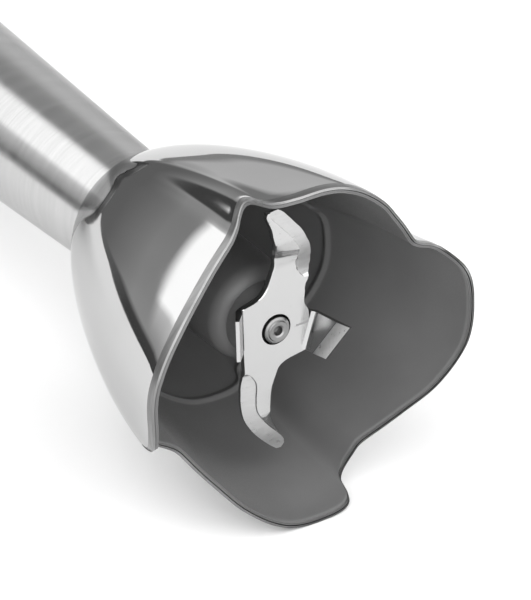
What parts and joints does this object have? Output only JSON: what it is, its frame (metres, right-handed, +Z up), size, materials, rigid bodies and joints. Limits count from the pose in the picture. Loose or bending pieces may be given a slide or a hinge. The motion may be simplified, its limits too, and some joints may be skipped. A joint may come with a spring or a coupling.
{
  "type": "immersion blender",
  "caption": "Immersion blender lying on its side: stainless foot with a wavy-rimmed bell, plastic lining and four-winged cutter, on a motor handle with buttons and a speed dial.",
  "frame": {"origin": "middle of the footprint, on the surface the blender lies on", "axes": "+X along the shaft towards the bell's open end, +Z up, +Y to the left seen from the handle"},
  "size_m": [0.395, 0.0702, 0.0701],
  "materials": {
    "polished_steel": "mirror polished stainless steel",
    "brushed_steel": "brushed round the tube",
    "blade_steel": "bright rolled stainless steel with ground edges",
    "plain_steel": "turned or drawn steel",
    "lining_plastic": "fine matt moulding grain",
    "handle_plastic": "satin moulding grain",
    "button_plastic": "satin",
    "inner_plastic": "plain moulding",
    "nylon": "natural nylon",
    "rubber": "matt moulded rubber",
    "bronze": "sintered",
    "copper": "enamelled wire and copper bars",
    "ferrite": "pressed ferrite and carbon",
    "board": "glass-fibre board"
  },
  "bodies": {
    "motor_unit": {"housing_right": "handle_plastic", "housing_left": "handle_plastic", "end_cap": "handle_plastic", "cord_gland": "rubber", "nose_ring": "polished_steel", "power_spring": "plain_steel", "turbo_spring": "plain_steel", "release_spring_left": "plain_steel", "release_spring_right": "plain_steel", "motor_can": "plain_steel", "motor_endbell_front": "nylon", "motor_endbell_rear": "nylon", "motor_bearing_front": "plain_steel", "motor_bearing_rear": "plain_steel", "motor_mount_front": "rubber", "motor_mount_rear": "rubber", "latch_ring": "plain_steel", "speed_potentiometer": "inner_plastic", "housing_screw_front_upper": "plain_steel", "housing_screw_front_lower": "plain_steel", "housing_screw_rear_upper": "plain_steel", "housing_screw_rear_lower": "plain_steel", "rest_pad": "rubber", "field_magnet_upper": "ferrite", "field_magnet_lower": "ferrite", "brush_holder_left": "bronze", "brush_holder_right": "bronze", "power_switch": "inner_plastic", "turbo_switch": "inner_plastic", "carbon_brush_left": "ferrite", "carbon_brush_right": "ferrite", "circuit_board": "board"},
    "foot": {"bell_shell": "polished_steel", "bell_lining": "lining_plastic", "foot_tube": "brushed_steel", "foot_collar": "handle_plastic", "foot_o_ring": "rubber", "lower_bush": "bronze", "lip_seal": "rubber", "shaft_guide": "nylon", "upper_bearing": "plain_steel", "shaft_circlip": "plain_steel"},
    "cutter": {"cutter_blade": "blade_steel", "blade_hub": "plain_steel", "drive_shaft": "plain_steel", "driven_coupling": "inner_plastic"},
    "rotor": {"drive_coupling": "plain_steel", "rotor_shaft": "plain_steel", "armature_core": "plain_steel", "winding_front": "copper", "winding_rear": "copper", "commutator": "copper", "cooling_fan": "nylon"},
    "power_button": {"power_button": "button_plastic"},
    "turbo_button": {"turbo_button": "button_plastic"},
    "release_button_left": {"release_button_left": "button_plastic"},
    "release_button_right": {"release_button_right": "button_plastic"},
    "speed_dial": {"speed_dial": "button_plastic"}
  },
  "joints": [
    {"name": "foot_release", "type": "slide", "parent": "motor_unit", "child": "foot", "axis": [1, 0, 0], "range_m": [0, 0.06]},
    {"name": "cutter_spin", "type": "hinge", "parent": "foot", "child": "cutter", "pos_m": [0.1829, 0, 0.03507], "axis": [1, 0, 0], "continuous": true},
    {"name": "rotor_spin", "type": "hinge", "parent": "motor_unit", "child": "rotor", "pos_m": [-0.0725, 0, 0.03507], "axis": [1, 0, 0], "continuous": true},
    {"name": "power_press", "type": "slide", "parent": "motor_unit", "child": "power_button", "axis": [0, 0, -1], "range_m": [0, 0.0022], "stiffness_N_per_m": 400, "springref_m": -0.0005, "deforming": ["power_spring"]},
    {"name": "turbo_press", "type": "slide", "parent": "motor_unit", "child": "turbo_button", "axis": [0, 0, -1], "range_m": [0, 0.0022], "stiffness_N_per_m": 400, "springref_m": -0.0005, "deforming": ["turbo_spring"]},
    {"name": "release_press_left", "type": "slide", "parent": "motor_unit", "child": "release_button_left", "axis": [0, -1, 0], "range_m": [0, 0.0025], "stiffness_N_per_m": 400, "springref_m": -0.0005, "deforming": ["release_spring_left"]},
    {"name": "release_press_right", "type": "slide", "parent": "motor_unit", "child": "release_button_right", "axis": [0, 1, 0], "range_m": [0, 0.0025], "stiffness_N_per_m": 400, "springref_m": -0.0005, "deforming": ["release_spring_right"]},
    {"name": "dial_turn", "type": "hinge", "parent": "motor_unit", "child": "speed_dial", "pos_m": [-0.1955, 0, 0.04207], "axis": [-1, 0, 0], "range_deg": [0, 270]}
  ],
  "couplings": [
    {"joint": "cutter_spin", "follows": "rotor_spin", "ratio": 1}
  ]
}
